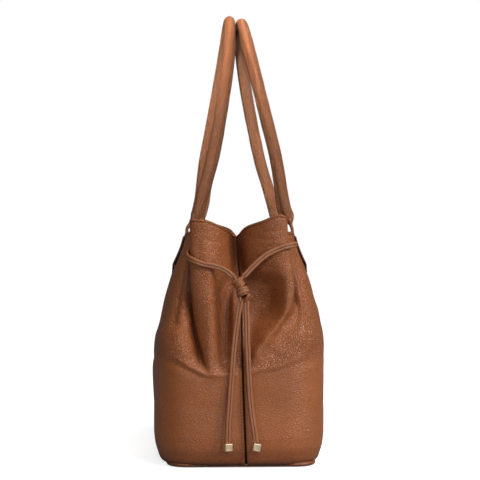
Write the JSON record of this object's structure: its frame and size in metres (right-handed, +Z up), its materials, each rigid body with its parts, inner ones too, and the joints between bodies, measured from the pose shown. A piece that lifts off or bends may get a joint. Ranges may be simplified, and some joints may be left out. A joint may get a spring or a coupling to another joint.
{
  "type": "bucket bag",
  "caption": "Soft leather bucket tote with cinched ends, knotted leather drawcords ending in metal cubes, and two rolled shoulder handles.",
  "frame": {"origin": "centre of the bag's footprint, on the surface it stands on", "axes": "+Z up; Y along the bag, from its right end (-Y, seen from the front) to its left end; X from the front face (-X) to the back face (+X)"},
  "size_m": [0.165, 0.324, 0.464],
  "materials": {
    "pebbled_leather": "satin pebble grain, cognac",
    "piping_leather": "satin, cognac, dark painted cut edges",
    "cord_leather": "smooth satin, folded and stitched",
    "lining_cloth": "woven cotton twill",
    "stiffener_board": "pressed fibre",
    "woven_tape": "woven polyester",
    "handle_core": "twisted cotton filler cord",
    "antique_brass": "brushed",
    "pale_gold": "polished, satin"
  },
  "bodies": {
    "bag": {"back_facing": "pebbled_leather", "back_lining": "lining_cloth", "back_shell": "pebbled_leather", "base_board": "stiffener_board", "base_lining": "lining_cloth", "base_panel": "pebbled_leather", "base_welt": "piping_leather", "front_facing": "pebbled_leather", "front_lining": "lining_cloth", "front_shell": "pebbled_leather", "left_back_eyelet": "antique_brass", "left_back_patch": "stiffener_board", "left_back_span": "cord_leather", "left_back_strap_end": "pebbled_leather", "left_back_tab": "pebbled_leather", "left_front_eyelet": "antique_brass", "left_front_patch": "stiffener_board", "left_front_span": "cord_leather", "left_front_strap_end": "pebbled_leather", "left_front_tab": "pebbled_leather", "left_knot": "cord_leather", "left_seam_tape": "woven_tape", "right_back_eyelet": "antique_brass", "right_back_patch": "stiffener_board", "right_back_span": "cord_leather", "right_back_strap_end": "pebbled_leather", "right_back_tab": "pebbled_leather", "right_front_eyelet": "antique_brass", "right_front_patch": "stiffener_board", "right_front_span": "cord_leather", "right_front_strap_end": "pebbled_leather", "right_front_tab": "pebbled_leather", "right_knot": "cord_leather", "right_seam_tape": "woven_tape", "slip_pocket": "lining_cloth", "snap_socket": "pale_gold", "snap_stud": "pale_gold", "zip_chain": "pale_gold", "zip_pouch": "lining_cloth", "zip_tape": "woven_tape"},
    "front_handle": {"front_handle_cover": "pebbled_leather", "front_handle_core": "handle_core"},
    "back_handle": {"back_handle_cover": "pebbled_leather", "back_handle_core": "handle_core"},
    "zip_slider": {"zip_slider": "pale_gold"},
    "zip_pull": {"zip_pull": "pale_gold"},
    "right_front_tail": {"right_front_tail": "cord_leather", "right_front_cube": "pale_gold"},
    "right_back_tail": {"right_back_tail": "cord_leather", "right_back_cube": "pale_gold"},
    "left_front_tail": {"left_front_tail": "cord_leather", "left_front_cube": "pale_gold"},
    "left_back_tail": {"left_back_tail": "cord_leather", "left_back_cube": "pale_gold"}
  },
  "joints": [
    {"name": "front_handle_swing", "type": "hinge", "parent": "bag", "child": "front_handle", "pos_m": [-0.0554, 0, 0.236], "axis": [0, -1, 0], "range_deg": [0, 150]},
    {"name": "back_handle_swing", "type": "hinge", "parent": "bag", "child": "back_handle", "pos_m": [0.0554, 0, 0.236], "axis": [0, 1, 0], "range_deg": [0, 150]},
    {"name": "right_front_tail_lift", "type": "hinge", "parent": "bag", "child": "right_front_tail", "pos_m": [-0.0017, -0.152, 0.163], "axis": [-1, 0, 0], "range_deg": [0, 80]},
    {"name": "right_back_tail_lift", "type": "hinge", "parent": "bag", "child": "right_back_tail", "pos_m": [0.0041, -0.152, 0.163], "axis": [-1, 0, 0], "range_deg": [0, 80]},
    {"name": "left_back_tail_lift", "type": "hinge", "parent": "bag", "child": "left_back_tail", "pos_m": [0.0017, 0.152, 0.163], "axis": [1, 0, 0], "range_deg": [0, 80]},
    {"name": "left_front_tail_lift", "type": "hinge", "parent": "bag", "child": "left_front_tail", "pos_m": [-0.0041, 0.152, 0.163], "axis": [1, 0, 0], "range_deg": [0, 80]},
    {"name": "zip_slide", "type": "slide", "parent": "bag", "child": "zip_slider", "axis": [0, 1, 0], "range_m": [0, 0.106]},
    {"name": "zip_pull_lift", "type": "hinge", "parent": "zip_slider", "child": "zip_pull", "pos_m": [0.06333, -0.054, 0.17756], "axis": [0, 1, 0], "range_deg": [-8, 75]}
  ]
}
